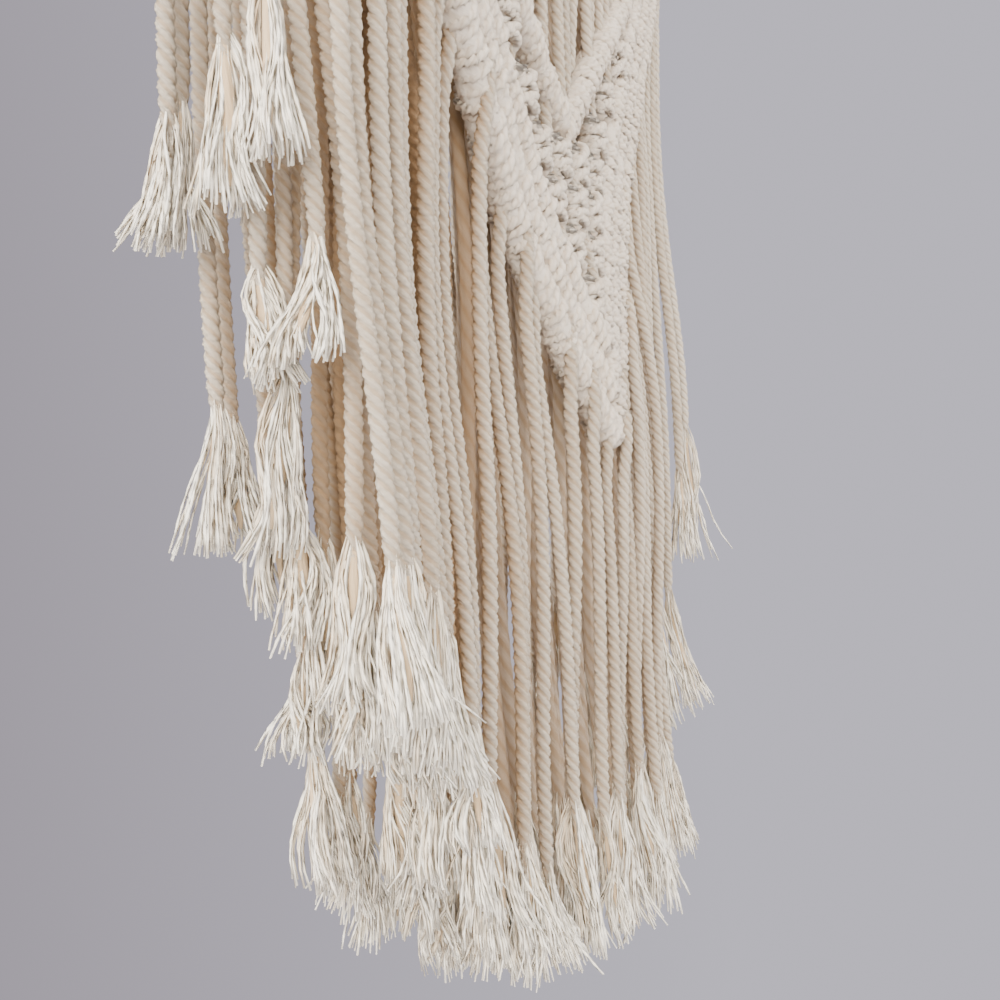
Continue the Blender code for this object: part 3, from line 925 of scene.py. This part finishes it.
def square_knots(work, rng):
    """Square knots: turns of cord across a pair of filler cords, tipped one way and then the other."""
    for x, height, half_width, half_height in SQUARE_KNOTS:
        z = V_POINT + height
        y = float(layer_y(0, x, z))
        for side in (-1, 1):
            heights = np.linspace(
                z + half_height + FILLER_PAST, z - half_height - FILLER_PAST, FILLER_POINTS)
            xs = x + side * half_width * FILLER_PLACE + 0 * heights
            route = np.stack((xs, layer_y(0, xs, heights), heights), axis=1)
            work.add(
                WRAP_CORD, route, KNOT_DEPTH * FILLER_RADIUS, WRAP_LEAD, (1, 0, 0), tone=CORE_TONE,
                slim=knot_filler_swell)
        for number in range(KNOT_TURNS):
            level = z + half_height * TURNS_SPAN * (2 * (number + 0.5) / KNOT_TURNS - 1)
            tip = (TURN_LEAN if number % 2 else -TURN_LEAN) + rng.normal(0, TURN_LEAN_UNEVEN)
            wrap(
                work, rng, (x, y, level), (0, 0, 1), 1.0, lean=tip,
                flat=((half_width - WRAP_RADIUS) * rng.uniform(*TURN_SIZE), KNOT_DEPTH - WRAP_RADIUS))


HEADING_POINTS = 40          # points along a heading
HOLDING_TONE = 0.3           # tone of the holding cord in it
LOOP_RADIUS = 0.0024         # radius of the cord looped over it
LOOP_LEAN_UNEVEN = 0.05


def heading(work, rng, layer):
    """The heading: each pair of cords is looped over a holding cord, with a hitch on either side."""
    y = FRONT_Y + layer * LAYER_PITCH
    route = np.array([(x, y, HEADING_Z) for x in np.linspace(-HALF_WIDTH, HALF_WIDTH, HEADING_POINTS)])
    work.add(HIDDEN_CORD, route, WRAP_RADIUS, WRAP_LEAD, (0, 0, 1), tone=HOLDING_TONE)
    turns = 2 * STRANDS
    for number in range(turns):
        x = -HALF_WIDTH + (number + 0.5) * 2 * HALF_WIDTH / turns
        wrap(
            work, rng, (x, y, HEADING_Z), (1, 0, 0), HEADING_RADIUS - LOOP_RADIUS,
            lean=rng.normal(0.0, LOOP_LEAN_UNEVEN), thick=LOOP_RADIUS, cord=HEADING_CORD)


def studio():
    """A plain pale floor well below the hanging, soft light and a plain grey room."""
    mesh = bmesh.new()
    bmesh.ops.create_circle(mesh, cap_ends=True, segments=FLOOR_SIDES, radius=FLOOR_RADIUS)
    bmesh.ops.translate(mesh, verts=mesh.verts, vec=(0, 0, -FLOOR_DEPTH))
    data = bpy.data.meshes.new("studio_floor")
    mesh.to_mesh(data)
    mesh.free()
    floor = bpy.data.objects.new("studio_floor", data)
    bpy.context.collection.objects.link(floor)
    finish = Finish("pale_floor", roughness=0.8, sheen=0.0, sheen_tint=(1, 1, 1))
    finish.feed(finish.surface.inputs["Base Color"], (*FLOOR_COLOUR, 1))
    data.materials.append(finish.material)

    studio_room()
    for name, place, power in LIGHTS:
        soft_light(name, place, power)


def studio_room():
    """A plain lilac-grey room, a little lighter on one side."""
    world = bpy.data.worlds.new("studio_room")
    world.use_nodes = True
    nodes = world.node_tree.nodes
    links = world.node_tree.links
    direction = nodes.new("ShaderNodeTexCoord")
    across = nodes.new("ShaderNodeVectorMath")
    across.operation = 'DOT_PRODUCT'
    across.inputs[1].default_value = ROOM_SIDE
    share = nodes.new("ShaderNodeMapRange")
    share.inputs["From Min"].default_value, share.inputs["From Max"].default_value = ROOM_SPAN
    mix = nodes.new("ShaderNodeMix")
    mix.data_type = 'RGBA'
    mix.inputs[6].default_value = (*ROOM_DIM, 1)
    mix.inputs[7].default_value = (*ROOM_LIGHT, 1)
    links.new(direction.outputs["Generated"], across.inputs[0])
    links.new(across.outputs["Value"], share.inputs["Value"])
    links.new(share.outputs["Result"], mix.inputs[0])
    links.new(mix.outputs[2], nodes["Background"].inputs["Color"])
    bpy.context.scene.world = world


def soft_light(name, place, power):
    data = bpy.data.lights.new(name, 'AREA')
    data.energy = power
    data.color = LIGHT_TINT
    data.size = LIGHT_SIZE
    light = bpy.data.objects.new(name, data)
    light.location = place
    aim = LIGHT_AIM - Vector(place)
    light.rotation_euler = aim.to_track_quat('-Z', 'Y').to_euler()
    bpy.context.collection.objects.link(light)


def make(name, finish, node, slot, *jobs):
    """Make one piece. Each job is a function that adds cords to it, its seed and what else it needs."""
    work = CordWork()
    for job, seed, *details in jobs:
        job(work, np.random.default_rng(seed), *details)
    work.piece(name, finish, node, slot=slot)


def make_front():
    cord_finish = cord_cotton("front_cord_cotton", CORD_COLOURS, CORD_RELIEF)
    knot_finish = cord_cotton("knot_cotton", KNOT_COLOURS, KNOT_RELIEF)
    tassel_finish = tassel_cotton("front_tassel_cotton", TASSEL_COLOURS, YARN_RELIEF)
    place = ("front_panel", "front_cotton")
    make("front_cords", cord_finish, *place, (front_strands, 11))
    make("front_hitch_rows", knot_finish, *place, (v_rows, 12))
    make("front_knots_and_heading", knot_finish, *place, (square_knots, 13), (heading, 14, 0))
    make("front_tassels", tassel_finish, *place, (tassels, 15, 0))


def make_back(layer):
    cord_finish = cord_cotton(f"back_cord_cotton_{layer}", CORD_COLOURS, CORD_RELIEF)
    tassel_finish = tassel_cotton(f"back_tassel_cotton_{layer}", TASSEL_COLOURS, YARN_RELIEF)
    place = (f"back_fringe_{layer}", f"back_cotton_{layer}")
    make(f"back_cords_{layer}", cord_finish, *place, (back_strands, 20 + layer, layer))
    make(f"back_heading_{layer}", cord_finish, *place, (heading, 30 + layer, layer))
    make(f"back_tassels_{layer}", tassel_finish, *place, (tassels, 40 + layer, layer))


set_camera()
studio()
make_front()
for back_layer in range(1, BACK_LAYERS + 1):
    make_back(back_layer)
